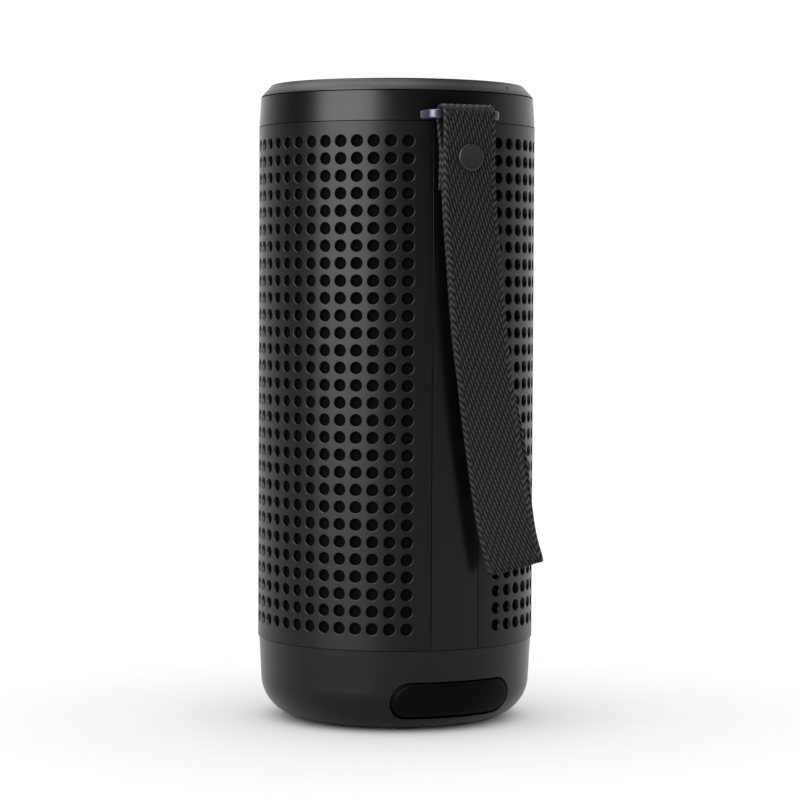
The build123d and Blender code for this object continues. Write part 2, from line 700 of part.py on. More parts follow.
chips = [
    (-10, 4, 9, 9, 1.2),
    (9, 6, 7, 7, 1.0),
    (12, -6, 5, 6, 3.0),
    (-7, -8, 6, 6, 2.8),
    (0, 14, 12, 5, 2.0),
]
for x, y, wide, deep, high in chips:
    add("board_components", block(x - wide / 2, x + wide / 2, y - deep / 2, y + deep / 2,
                                  board_top_z, board_top_z + high))
for x, y in ((-20, -6), (20, -6), (-20, 5), (20, 7)):
    can = disc(3.1, board_top_z, board_top_z + 7.0, x, y)
    add("board_components", fillet(can.edges().group_by(Axis.Z)[-1], 0.5))

ribbon_socket_top = board_top_z + 2.4
add("key_ribbon", block(-4.0, 4.0, -4.1, -3.8, ribbon_socket_top - 1.2,
                        key_board_bottom_z - 1.6))
add("board_components", block(-5.0, 5.0, -5.2, -2.7, board_top_z, ribbon_socket_top)
    - block(-4.05, 4.05, -4.15, -3.75, board_top_z + 1.0, ribbon_socket_top + 1))
add("key_board", block(-5.0, 5.0, -5.2, -2.7, key_board_bottom_z - 2.0, key_board_bottom_z)
    - block(-4.05, 4.05, -4.15, -3.75, key_board_bottom_z - 3, key_board_bottom_z - 1.5))

# screws that pull the base and the deck onto the chassis
for x, y in deck_screw_points:
    lift = Pos(x, y, 16.0) * Rot(180, 0, 0) * cap_screw(2.7, 1.8, post_screw_radius, 17.5)
    add("base_screws", lift)
    add("deck_screws", Pos(x, y, deck_top_z) * cap_screw(2.7, 1.8, post_screw_radius, 11.5))

# ---------- files ----------
os.makedirs("parts", exist_ok=True)
for name, solids in nodes.items():
    shape = solids[0] if len(solids) == 1 else Compound(children=solids)
    shape.label = name
    export_step(shape, f"parts/{name}.step", write_pcurves=False)
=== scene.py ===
# %% [markdown]
# # A portable shower speaker
# A black cylinder stands on a rubber foot. A perforated metal grille wraps most of it, a plain
# spine runs down the back, and a webbing strap hangs from a metal bracket near the top.
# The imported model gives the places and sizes. This script gives each visible piece its finished
# surface and material. Lengths are written in millimetres and turned to metres in one place.

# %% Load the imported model
from math import atan2, cos, pi, radians, sin

import bmesh
import bpy
import numpy as np
from mathutils import Matrix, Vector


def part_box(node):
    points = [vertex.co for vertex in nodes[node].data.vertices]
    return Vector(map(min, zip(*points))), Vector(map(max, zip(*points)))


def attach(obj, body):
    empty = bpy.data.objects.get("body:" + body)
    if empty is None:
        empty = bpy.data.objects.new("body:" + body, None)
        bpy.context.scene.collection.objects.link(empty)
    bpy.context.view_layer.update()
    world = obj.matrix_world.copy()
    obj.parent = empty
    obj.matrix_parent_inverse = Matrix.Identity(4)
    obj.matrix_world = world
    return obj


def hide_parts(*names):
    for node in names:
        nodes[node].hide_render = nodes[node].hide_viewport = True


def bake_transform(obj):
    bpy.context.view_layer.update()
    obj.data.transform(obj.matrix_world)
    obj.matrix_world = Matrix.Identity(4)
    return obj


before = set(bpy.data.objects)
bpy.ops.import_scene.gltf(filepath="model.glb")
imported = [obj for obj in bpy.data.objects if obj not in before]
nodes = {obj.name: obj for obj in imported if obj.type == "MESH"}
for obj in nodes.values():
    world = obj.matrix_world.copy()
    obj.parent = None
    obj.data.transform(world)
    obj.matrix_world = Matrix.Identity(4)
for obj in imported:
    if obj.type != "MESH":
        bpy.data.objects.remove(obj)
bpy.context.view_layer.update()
MM = 0.001
print("pieces in the packed model:", len(nodes))

# %% [markdown]
# ## How a surface becomes a mesh
# A curved surface can be modelled by hand, or worked out as a grid of points: one number runs
# along it and the other round it. The grid is used here, because a ring, a pillow and a strap
# are then all the same job. Points that coincide are merged, which closes seams and poles, and
# the faces are turned outwards after that.

# %% Grid faces and mesh pieces
def grid_faces(rows, columns, close_rows=False, close_columns=False):
    """Quads of a grid: each joins a point, its neighbour across, and the two points below."""
    row = np.arange(rows if close_rows else rows - 1)[:, None]
    column = np.arange(columns if close_columns else columns - 1)[None, :]
    below, across = (row + 1) % rows, (column + 1) % columns
    corners = [row * columns + column, row * columns + across,
               below * columns + across, below * columns + column]
    shape = (row.size, column.size)
    return np.stack([np.broadcast_to(c, shape) for c in corners], -1).reshape(-1, 4)


def make_piece(name, points, faces, sharp=35, uv=None, relief=None):
    """Mesh object from points in millimetres. Doubles closer than 0.001 mm are merged. Relief is
    a number from 0 to 1 at each point, kept as an attribute for the finish to read."""
    mesh = bpy.data.meshes.new(name)
    mesh.from_pydata((points.reshape(-1, 3) * MM).tolist(), [], faces.tolist())
    if uv is not None:
        corner = np.empty(len(mesh.loops), np.int32)
        mesh.loops.foreach_get("vertex_index", corner)
        layer = mesh.uv_layers.new(name="along")
        layer.data.foreach_set("uv", uv.reshape(-1, 2)[corner].ravel().astype(np.float32))
    if relief is not None:
        raised = mesh.attributes.new("relief", "FLOAT", "POINT")
        raised.data.foreach_set("value", relief.ravel().astype(np.float32))
    work = bmesh.new()
    work.from_mesh(mesh)
    bmesh.ops.remove_doubles(work, verts=work.verts, dist=1e-6)
    bmesh.ops.recalc_face_normals(work, faces=work.faces)
    work.to_mesh(mesh)
    work.free()
    mesh.shade_smooth()
    mesh.set_sharp_from_angle(angle=radians(sharp))
    piece = bpy.data.objects.new(name, mesh)
    bpy.context.scene.collection.objects.link(piece)
    return piece


def place(piece, body, slot, finish, *replaced):
    """Give a piece its finish, its body and the nodes it stands for. `slot` is not used."""
    piece.data.materials.clear()
    piece.data.materials.append(finish)
    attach(piece, body)
    if replaced:
        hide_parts(*replaced)
    print(f"{piece.name}: {len(piece.data.polygons)} faces on {body}")


# %% [markdown]
# ## Moulded plastic, rubber and painted metal
# Moulded parts are never one flat colour. A spark-eroded mould leaves a fine grain, and
# handling leaves soft patches that are a little glossier. Both could be painted as images, but
# noise in three dimensions follows every piece with no seams. The grain lifts the surface by a
# few microns, and the patches change the colour and the roughness.

# %% Plain finishes with a grain
def noise(tree, size, detail=2.0, stretch=(1, 1, 1)):
    """Noise whose features are `size` mm across, drawn out by `stretch` on each axis."""
    where = tree.nodes.new("ShaderNodeTexCoord")
    turn = tree.nodes.new("ShaderNodeMapping")
    turn.inputs["Scale"].default_value = stretch
    pattern = tree.nodes.new("ShaderNodeTexNoise")
    pattern.inputs["Scale"].default_value = 1 / (size * MM)
    pattern.inputs["Detail"].default_value = detail
    tree.links.new(where.outputs["Object"], turn.inputs["Vector"])
    tree.links.new(turn.outputs["Vector"], pattern.inputs["Vector"])
    return pattern.outputs["Fac"]


def spread(tree, source, low, high, start=0.3, end=0.7):
    """Turn a pattern's values between start and end into values between low and high."""
    ramp = tree.nodes.new("ShaderNodeMapRange")
    values = {"From Min": start, "From Max": end, "To Min": low, "To Max": high}
    for socket, value in values.items():
        ramp.inputs[socket].default_value = value
    tree.links.new(source, ramp.inputs["Value"])
    return ramp.outputs["Result"]


def tint(tree, source, dark, light):
    """Colours from dark to light as a pattern goes from 0 to 1."""
    ramp = tree.nodes.new("ShaderNodeValToRGB")
    ramp.color_ramp.elements[0].color = (*dark, 1)
    ramp.color_ramp.elements[1].color = (*light, 1)
    ramp.color_ramp.elements[0].position = 0.3
    ramp.color_ramp.elements[1].position = 0.7
    tree.links.new(source, ramp.inputs["Fac"])
    return ramp.outputs["Color"]


def lift(tree, source, height, below=None):
    """Bump of `height` mm from a pattern, on top of another bump if there is one."""
    bump = tree.nodes.new("ShaderNodeBump")
    bump.inputs["Distance"].default_value = height * MM
    bump.inputs["Strength"].default_value = 1.0
    tree.links.new(source, bump.inputs["Height"])
    if below is not None:
        tree.links.new(below, bump.inputs["Normal"])
    return bump.outputs["Normal"]


def finish(name, colour, roughness, specular=0.3, metal=0.0, grain=0.35, depth=0.004,
           patch=14.0, vary=0.12, stretch=(1, 1, 1)):
    """Surface with a grain `grain` mm across and `depth` mm deep, and patches in its tone."""
    material = bpy.data.materials.new(name)
    material.use_nodes = True
    tree = material.node_tree
    shader = tree.nodes["Principled BSDF"]
    shader.inputs["Metallic"].default_value = metal
    shader.inputs["Specular IOR Level"].default_value = specular
    patches = noise(tree, patch, 3.0)
    fine = noise(tree, grain, 2.0, stretch)
    base = np.array(colour)
    tone = tint(tree, patches, tuple(base * (1 - vary)), tuple(base * (1 + vary)))
    tree.links.new(tone, shader.inputs["Base Color"])
    gloss = spread(tree, patches, roughness * (1 - vary / 2), roughness * (1 + vary / 2))
    tree.links.new(gloss, shader.inputs["Roughness"])
    tree.links.new(lift(tree, fine, depth), shader.inputs["Normal"])
    return material


satin_black = finish("satin_black", (0.0016, 0.0016, 0.0018), 0.3, 0.235)
# The top ring is given a lighter grey than the body as a painted highlight: its chamfer faces up
# to the light.
ring_painted_highlight_grey = finish("ring_painted_highlight_grey", (0.021, 0.0215, 0.023), 0.38, 0.32, grain=0.3)
panel_black = finish("panel_black", (0.009, 0.009, 0.0095), 0.66, 0.07)
cover_rubber = finish("cover_rubber", (0.0009, 0.001, 0.0013), 0.5, 0.05, grain=0.2)
foot_rubber = finish("foot_rubber", (0.005, 0.005, 0.005), 0.75, 0.2, grain=0.5, depth=0.01)
key_rubber = finish("key_rubber", (0.014, 0.014, 0.0145), 0.72, 0.08, grain=0.25)
grille_paint = finish("grille_paint", (0.0016, 0.0016, 0.0018), 0.34, 0.21, grain=0.18,
                      depth=0.006, patch=9.0)
print("plain finishes ready")

# %% [markdown]
# ## Metals, cloth and the pieces inside
# The strap's bracket is bead blasted and then lightly brushed, so its grain is drawn out. The
# acoustic cloth is an open weave: two sets of fine bands cross and lift each other. Pieces
# inside the housing are seen only when it is opened, and still get their own finish.

# %% Metals and cloth
bracket_metal = finish("bracket_metal", (0.085, 0.083, 0.105), 0.42, 0.5, 1.0, grain=0.25,
                       depth=0.006, stretch=(0.15, 1, 1))
rivet_black = finish("rivet_black", (0.016, 0.016, 0.0165), 0.34, 0.35, grain=0.3)
screw_steel = finish("screw_steel", (0.35, 0.35, 0.36), 0.35, 0.5, 1.0, grain=0.2)
inner_finishes = {
    "chassis_plastic": finish("chassis_black", (0.02, 0.02, 0.021), 0.6, 0.3, grain=0.6),
    "cone_pulp": finish("cone_pulp", (0.03, 0.028, 0.027), 0.85, 0.2, grain=0.5, depth=0.05),
    "basket_steel": finish("basket_steel", (0.05, 0.05, 0.055), 0.45, 0.5, 0.6, grain=0.4),
    "magnet_iron": finish("magnet_iron", (0.12, 0.12, 0.125), 0.5, 0.5, 0.9, grain=0.7),
    "radiator_steel": finish("radiator_steel", (0.1, 0.1, 0.105), 0.4, 0.5, 0.9),
    "soft_rubber": finish("seal_rubber", (0.015, 0.015, 0.015), 0.7, 0.2, depth=0.01),
    "cell_wrap": finish("cell_wrap", (0.03, 0.09, 0.22), 0.4, 0.5, grain=1.5, depth=0.01),
    "holder_plastic": finish("holder_black", (0.025, 0.025, 0.026), 0.55, 0.3, grain=0.6),
    "board_laminate": finish("board_green", (0.01, 0.055, 0.022), 0.45, 0.5, patch=4.0),
    "component_black": finish("chip_black", (0.015, 0.015, 0.016), 0.5, 0.4, grain=0.2),
    "port_metal": finish("port_steel", (0.42, 0.42, 0.44), 0.32, 0.5, 1.0, grain=0.3),
    "ribbon_film": finish("ribbon_amber", (0.3, 0.13, 0.03), 0.4, 0.5, grain=0.6),
    "lead_wire": finish("lead_red", (0.3, 0.02, 0.02), 0.5, 0.4, grain=0.6),
    "screw_steel": screw_steel,
}


def woven_cloth():
    """Cloth whose threads are 0.4 mm apart: bands round the body cross bands up it."""
    material = finish("woven_cloth", (0.0015, 0.0015, 0.0016), 0.9, 0.05, grain=0.5)
    tree = material.node_tree
    where = tree.nodes.new("ShaderNodeTexCoord")
    normal = None
    for direction in ("Z", "DIAGONAL"):
        band = tree.nodes.new("ShaderNodeTexWave")
        band.bands_direction = direction
        band.inputs["Scale"].default_value = 800.0
        band.inputs["Distortion"].default_value = 1.0
        tree.links.new(where.outputs["Object"], band.inputs["Vector"])
        normal = lift(tree, band.outputs["Fac"], 0.05, normal)
    tree.links.new(normal, tree.nodes["Principled BSDF"].inputs["Normal"])
    return material


cloth_black = woven_cloth()
print("metals, cloth and", len(inner_finishes), "inner finishes ready")

# %% [markdown]
# ## The grille
# The real grille is steel sheet, punched and rolled, so each hole has a slightly rounded rim
# and straight walls. Cutting over a thousand holes with a boolean is slow and leaves ragged
# shading. Here each hole gets its own square cell: sixteen points round the cell lead to
# sixteen round the rim, down the wall and back out behind. Neighbours share their edges.

# %% Perforated grille
BODY_RADIUS = 38.0
HOLE_ROWS, HOLE_COLUMNS = 29, 47
HOLE_RADIUS = 3.15 / 2
FIRST_Z, LAST_Z = 28.2, 157.3
FIRST_ANGLE, EDGE_ANGLE = 20.45, 10.6
GRILLE_LOW, GRILLE_HIGH = 22.5, 162.5
SHEET = 1.0


def on_cylinder(angle, z, depth=0.0, radius=BODY_RADIUS):
    """Point at an angle from the spine, positive to +X, at a height and a depth inwards."""
    r = radius - depth
    return np.stack(np.broadcast_arrays(r * np.sin(angle), -r * np.cos(angle), z), -1)


def perforated_grille():
    """Cells of 16 points a ring: square, rim, rounding, wall foot, square behind."""
    row_pitch = (LAST_Z - FIRST_Z) / (HOLE_ROWS - 1)
    column_pitch = radians((360 - 2 * FIRST_ANGLE) / (HOLE_COLUMNS - 1))
    turn = np.arange(16) * pi / 8
    c, s = np.cos(turn), np.sin(turn)
    reach = np.maximum(np.abs(c), np.abs(s))
    square_u, square_v = c / reach / 2, s / reach / 2
    rings = [(None, 0.0), (HOLE_RADIUS + 0.22, 0.0), (HOLE_RADIUS + 0.02, 0.1),
             (HOLE_RADIUS, SHEET), (None, SHEET)]
    z = (FIRST_Z + row_pitch * np.arange(HOLE_ROWS))[:, None, None]
    a = (radians(FIRST_ANGLE) + column_pitch * np.arange(HOLE_COLUMNS))[None, :, None]
    levels = []
    for radius, depth in rings:
        if radius is None:
            da, dz = square_u * column_pitch, square_v * row_pitch
        else:
            da, dz = radius * c / BODY_RADIUS, radius * s
        levels.append(on_cylinder(a + da, z + dz, depth))
    points = np.stack(levels, 2)
    cells = HOLE_ROWS * HOLE_COLUMNS
    one = grid_faces(len(rings), 16, close_columns=True)
    start = np.arange(cells)[:, None, None] * len(rings) * 16
    faces = (one[None] + start).reshape(-1, 4)

    # plain margins round the field of holes, as thin boxes closed by a wall along their outer
    # edge
    side = np.array([-1, -0.41421356, 0, 0.41421356, 1]) / 2
    cell_z = np.unique(np.round(z.ravel()[:, None] + side * row_pitch, 6))
    cell_a = np.unique(np.round(a.ravel()[:, None] + side * column_pitch, 9))
    edge_a = np.array([radians(EDGE_ANGLE), cell_a[0]])
    more = [(edge_a, cell_z), (2 * pi - edge_a[::-1], cell_z)]
    all_a = np.concatenate([edge_a[:1], cell_a, 2 * pi - edge_a[:1]])
    more += [(all_a, np.array([GRILLE_LOW, cell_z[0]])),
             (all_a, np.array([cell_z[-1], GRILLE_HIGH]))]
    stack_points, stack_faces, count = [points.reshape(-1, 3)], [faces], points.size // 3
    for angles, heights in more:
        for depth in (0.0, SHEET):
            patch = on_cylinder(angles[None, :], heights[:, None], depth)
            stack_points.append(patch.reshape(-1, 3))
            stack_faces.append(grid_faces(len(heights), len(angles)) + count)
            count += patch.size // 3
    border = np.concatenate([
        np.stack([all_a, np.full(all_a.shape, GRILLE_LOW)], -1),
        np.stack([np.full(cell_z.shape, all_a[-1]), cell_z], -1),
        np.stack([all_a[::-1], np.full(all_a.shape, GRILLE_HIGH)], -1),
        np.stack([np.full(cell_z.shape, all_a[0]), cell_z[::-1]], -1)])
    wall = np.stack([on_cylinder(border[:, 0], border[:, 1], d) for d in (0.0, SHEET)])
    stack_points.append(wall.reshape(-1, 3))
    stack_faces.append(grid_faces(2, len(border), close_columns=True) + count)
    return np.concatenate(stack_points), np.concatenate(stack_faces)


def read(items, field, width=3, kind=float):
    """One field of a mesh's points, corners or faces, as an array with a row for each."""
    values = np.empty(len(items) * width, kind)
    items.foreach_get(field, values)
    return values.reshape(-1, width)


def corners(mesh):
    """Of each corner of each face: its place in mm, its normal now, and its face's normal."""
    vertex = read(mesh.loops, "vertex_index", 1, np.int32)[:, 0]
    sides = read(mesh.polygons, "loop_total", 1, np.int32)[:, 0]
    return (read(mesh.vertices, "co")[vertex] / MM, read(mesh.corner_normals, "vector"),
            np.repeat(read(mesh.polygons, "normal"), sides, 0))


def smooth_round(piece, radius_at, tolerance=0.02):
    """Shade the outer skin as the true turned surface: where a face lies on the skin, its
    corners take the exact normal, outwards from the axis and tilted by the profile's slope."""
    p, now, flat = corners(piece.data)
    r = np.hypot(p[:, 0], p[:, 1])
    slope = (radius_at(p[:, 2] + 0.01) - radius_at(p[:, 2] - 0.01)) / 0.02
    true = np.stack([p[:, 0] / np.maximum(r, 1e-6), p[:, 1] / np.maximum(r, 1e-6), -slope], -1)
    true /= np.linalg.norm(true, axis=1)[:, None]
    on_skin = np.abs(r - radius_at(p[:, 2])) < tolerance
    facing = (true * flat).sum(1) > 0.9
    chosen = np.where((on_skin & facing)[:, None], true, now)
    piece.data.normals_split_custom_set(chosen.tolist())


grille = make_piece("perforated_grille", *perforated_grille(), sharp=75)
smooth_round(grille, lambda z: np.full(z.shape, BODY_RADIUS), 0.005)
place(grille, "root", "grille_coating", grille_paint, "grille")

# %% [markdown]
# ## Housings, ring and buttons
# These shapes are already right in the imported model, but its mesh is loose triangles. A copy
# with its doubles merged can be shaded smoothly. On a turned skin the exact normal is known at
# every point, so the copy takes that, which hides the facets completely.

# %% Smooth copies of moulded pieces
def level_faces(mesh):
    """Give every corner of a level face that face's own normal. Rounded edges beside it would
    otherwise tilt the corners of its long thin triangles, and the face would look dented."""
    _, now, flat = corners(mesh)
    level = np.abs(flat[:, 2:]) > 0.9999
    mesh.normals_split_custom_set(np.where(level, flat, now).tolist())


def smooth_copy(node, name, sharp=30):
    """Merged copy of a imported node's mesh, smooth except at edges sharper than `sharp`."""
    mesh = nodes[node].data.copy()
    mesh.name = name
    work = bmesh.new()
    work.from_mesh(mesh)
    bmesh.ops.remove_doubles(work, verts=work.verts, dist=2e-6)
    work.to_mesh(mesh)
    work.free()
    mesh.shade_smooth()
    mesh.set_sharp_from_angle(angle=radians(sharp))
    level_faces(mesh)
    piece = bpy.data.objects.new(name, mesh)
    bpy.context.scene.collection.objects.link(piece)
    return piece


CURVE_TOP, CURVE_HEIGHT = 11.4, 10.9
CURVE_START, CURVE_WIDTH = 26.3, 10.8
WAIST_RADIUS, WALL_FLARE, WALL_HEIGHT = 37.1, 0.6, 10.9
BAND_LOW, BAND_HEIGHT, BAND_TAPER = 162.7, 7.85, 0.5


def base_radius(z):
    """Radius of the base: a quarter ellipse from the underside, then a gently flaring wall."""
    z = np.asarray(z, float)
    rise = np.clip((CURVE_TOP - z) / CURVE_HEIGHT, 0, 0.9999)
    curve = CURVE_START + CURVE_WIDTH * np.sqrt(1 - rise ** 2)
    wall = WAIST_RADIUS + WALL_FLARE * (z - CURVE_TOP) / WALL_HEIGHT
    return np.where(z < CURVE_TOP, curve, wall)


def band_radius(z):
    """Radius of the upper band, which narrows by half a millimetre towards the ring."""
    rise = np.clip((np.asarray(z, float) - BAND_LOW) / BAND_HEIGHT, 0, 1)
    return BODY_RADIUS - BAND_TAPER * rise


base = smooth_copy("base_housing", "base_shell")
smooth_round(base, base_radius)
place(base, "root", "satin_plastic", satin_black, "base_housing")
band = smooth_copy("upper_housing", "upper_band")
smooth_round(band, band_radius)
place(band, "root", "satin_plastic", satin_black, "upper_housing")
spine = smooth_copy("spine_cover", "spine_strip")
smooth_round(spine, lambda z: np.full(z.shape, BODY_RADIUS))
place(spine, "root", "satin_plastic", satin_black, "spine_cover")
ring = smooth_copy("top_bezel", "top_ring")
smooth_round(ring, lambda z: np.interp(z, [171.0, 174.0], [37.4, 34.7]))
place(ring, "root", "top_ring_plastic", ring_painted_highlight_grey, "top_bezel")

copies = [
    ("top_panel", "button_panel", "root", "satin_plastic", panel_black),
    ("base_foot", "rubber_foot", "root", "soft_rubber", foot_rubber),
    ("strap_bracket", "strap_bar", "root", "satin_metal", bracket_metal),
    ("play_button", "play_key", "play_button", "button_rubber", key_rubber),
    ("volume_up_button", "volume_up_key", "volume_up_button", "button_rubber", key_rubber),
    ("volume_down_button", "volume_down_key", "volume_down_button", "button_rubber", key_rubber),
    ("power_button", "power_key", "power_button", "button_rubber", key_rubber),
    ("pairing_button", "pairing_key", "pairing_button", "button_rubber", key_rubber),
]
for node, name, body, slot, material in copies:
    place(smooth_copy(node, name), body, slot, material, node)

# %% [markdown]
# ## The port cover
# One rubber moulding lies in the base's recess: its left end is fixed and the rest lifts, bending
# at a thin fold. Two rigid halves would tear at that fold, so it is one pillow; here it is built
# lying closed and given no body, and only its pegs go with the cover. Rings of points shrink from
# the outline to its middle line on the outer face, and again on the inner face.

# %% Port cover
COVER_TURN = radians(2.3)
COVER_Z = 8.8
HALF_LENGTH, HALF_HEIGHT = 17.65, 4.8
COVER_THICKNESS = 1.3
PROUD = 0.02


def on_base(x, z, depth):
    """Point of the base at sideways place x and height z, `depth` under the skin along it."""
    slope = (base_radius(z + 0.01) - base_radius(z - 0.01)) / 0.02
    length = np.sqrt(1 + slope ** 2)
    r = base_radius(z) - depth / length
    high = z + depth * slope / length
    y = -np.sqrt(np.maximum(r ** 2 - x ** 2, 0))
    c, s = cos(COVER_TURN), sin(COVER_TURN)
    return np.stack([x * c - y * s, x * s + y * c, high], -1)


def stadium_ring(half_length, half_height, count=176):
    """Outline with round ends, and for each of its points the nearest one on its middle line."""
    straight = half_length - half_height
    total = 4 * straight + 2 * pi * half_height
    t = np.arange(count) / count * total
    arc = pi * half_height
    a = np.clip(t, 0, arc) / half_height - pi / 2
    first = t < arc
    second = (t >= arc) & (t < arc + 2 * straight)
    third = (t >= arc + 2 * straight) & (t < 2 * arc + 2 * straight)
    b = (t - arc - 2 * straight) / half_height + pi / 2
    x = np.select([first, second, third],
                  [straight + half_height * np.cos(a), straight - (t - arc),
                   -straight + half_height * np.cos(b)], -straight + (t - 2 * arc - 2 * straight))
    z = np.select([first, second, third],
                  [half_height * np.sin(a), half_height + 0 * t, half_height * np.sin(b)],
                  -half_height + 0 * t)
    return x, z, np.clip(x, -straight, straight)


def cover_pillow():
    """Rings from the outer face's middle line out, down a shallow step 0.95 mm inside the
    outline, round the edge, and back on the inside."""
    x, z, middle = stadium_ring(HALF_LENGTH, HALF_HEIGHT)
    turn = np.linspace(0, pi / 2, 5)
    edge, step = 0.35 / HALF_HEIGHT, 1 - 0.95 / HALF_HEIGHT
    panel = np.concatenate([np.linspace(0, step, 10), step + np.array([0.012, 0.024, 0.04])])
    sunk = np.array([0.0] * 10 + [0.05, 0.16, 0.2])
    share = np.concatenate([panel, [1 - 1.5 * edge], 1 - edge + edge * np.sin(turn), [1.0],
                            np.linspace(1, 0, 12)])
    depth = np.concatenate([sunk, [0.2], 0.2 + 0.35 * (1 - np.cos(turn)), [1.0],
                            np.full(12, COVER_THICKNESS)])
    across = middle[None, :] + (x - middle)[None, :] * share[:, None]
    up = COVER_Z + z[None, :] * share[:, None]
    points = on_base(across, up, depth[:, None] - PROUD)
    return points, grid_faces(len(share), x.size, close_columns=True)


cover = make_piece("port_cover_flap", *cover_pillow(), sharp=50)
cover.data.materials.append(cover_rubber)
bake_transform(cover)
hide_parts("port_cover", "port_cover_anchor")


def plug(x, half_length, radius, tip_y):
    """Rubber peg with round ends that points into one port. Its root lies inside the cover's
    thickness, 1 mm under the turned skin, and its tip is flat with a rounded rim."""
    u, v, middle = stadium_ring(half_length, radius, 48)
    turn = np.linspace(0, pi / 2, 4)[1:]
    share = np.concatenate([[0, 1, 1], 0.75 + 0.25 * np.cos(turn), [0]])[:, None]
    y = np.concatenate([[0, 0, tip_y - 0.25], tip_y - 0.25 + 0.25 * np.sin(turn), [tip_y]])
    across, up = x + middle + (u - middle) * share, COVER_Z + v * share
    root = -np.sqrt((base_radius(up) - 1.0) ** 2 - across ** 2)
    points = np.stack([across, np.where(y[:, None] == 0, root, y[:, None]), up], -1)
    return points, grid_faces(len(y), u.size, close_columns=True)


pegs = [("charging_port_plug", -7.6, 3.4, 0.75, -31.25),
        ("audio_jack_plug", 14.2, 1.1, 1.1, -28.9)]
for name, x, half_length, radius, tip_y in pegs:
    place(make_piece(name, *plug(x, half_length, radius, tip_y)), "port_cover", "soft_rubber",
          cover_rubber)

# %% [markdown]
# ## The strap
# Nylon webbing is woven flat: slanted ribs broken into short floats, and a braided edge. It
# goes up behind the bracket's bar, over it, down the front, folds, and comes back up to the
# rivet. Its closed cross-section is carried along that path, and the ribs lift the section's
# own points, so that the weave catches the light. Its colour follows that height too: the raised
# floats are painted paler, a painted highlight, and the grooves near black, a painted shade.

# %% Path of the strap
LAYER = 0.66
BAR_Y, BAR_Z, LOOP_RADIUS = -42.4, 164.1, 2.15
hang = np.array([
    (0.0, 44.05, 155.0, 0.0), (0.0, 44.05, 150.0, 0.0), (0.3, 44.15, 141.0, 1.5),
    (1.75, 44.2, 125.0, 4.8), (3.4, 44.2, 107.0, 8.6), (5.7, 44.2, 89.0, 13.0),
    (8.4, 44.4, 72.0, 20.0), (10.7, 44.6, 58.6, 25.5), (12.3, 44.7, 51.6, 26.5),
    (14.3, 44.8, 45.2, 27.0)])


def smooth_line(knots, step):
    """Cubic run through knots: each knot's slope is the one its neighbours suggest."""
    gaps = np.linalg.norm(np.diff(knots[:, :3], axis=0), axis=1)
    t = np.concatenate([[0], np.cumsum(gaps)])
    slopes = np.gradient(knots, t, axis=0)
    s = np.linspace(0, t[-1], int(t[-1] / step))
    i = np.clip(np.searchsorted(t, s, side="right") - 1, 0, len(t) - 2)
    h = (t[i + 1] - t[i])[:, None]
    u = ((s - t[i]) / h[:, 0])[:, None]
    return ((2 * u ** 3 - 3 * u ** 2 + 1) * knots[i] + (u ** 3 - 2 * u ** 2 + u) * h * slopes[i]
            + (3 * u ** 2 - 2 * u ** 3) * knots[i + 1] + (u ** 3 - u ** 2) * h * slopes[i + 1])


def strap_path():
    """Knots up the back, over the bar, down the front layer, round the fold and up again. Each
    is a point and the direction of the strap's width, square to the line the strap follows."""
    middle = smooth_line(hang * [1, -1, 1, 1], 3.0)
    twist = np.radians(middle[:, 3])
    middle = middle[:, :3]
    along = np.gradient(middle, axis=0)
    along /= np.linalg.norm(along, axis=1)[:, None]
    wide = np.stack([np.cos(twist), -np.sin(twist), 0 * twist], -1)
    wide -= along * (wide * along).sum(1)[:, None]
    wide /= np.linalg.norm(wide, axis=1)[:, None]
    out = np.cross(along, wide)
    offset = 1.3 * np.exp(-((middle[:, 2] - 76) / 17) ** 2)
    front = np.hstack([middle + LAYER * out, wide])
    rear = np.hstack([middle - LAYER * out + wide * offset[:, None], wide])
    turn = np.linspace(0, pi, 7)[1:-1, None]
    bend = middle[-1] + LAYER * (np.cos(turn) * out[-1] + np.sin(turn) * along[-1])
    bend = np.hstack([bend, np.tile(wide[-1], (len(bend), 1))])
    tail = [(-41.65, 144.3), (-41.9, 148.0), (-42.05, 152.0), (-41.95, 155.5),
            (-41.3, 158.5), (-40.55, 161.5)]
    a = np.radians(np.arange(0, 181, 30))
    loop = np.stack([BAR_Y + LOOP_RADIUS * np.cos(a), BAR_Z + LOOP_RADIUS * np.sin(a)], -1)
    over = np.concatenate([tail, loop, [(-44.68, 161.2), (-44.71, 158.2)]])
    over = np.hstack([0 * over[:, :1], over, np.tile([1.0, 0, 0], (len(over), 1))])
    return np.concatenate([over, front, bend, rear[::-1]])


# %% Webbing carried along the path
FACE_HALF, EDGE_ROUND = 7.2, 0.28
CORE, RELIEF = 0.45, 0.2
RIB_PITCH, RIB_SLANT = 0.82, radians(13.5)
FLOAT_LENGTH, BRAID_LENGTH, BRAID_START = 2.6, 1.9, 6.3


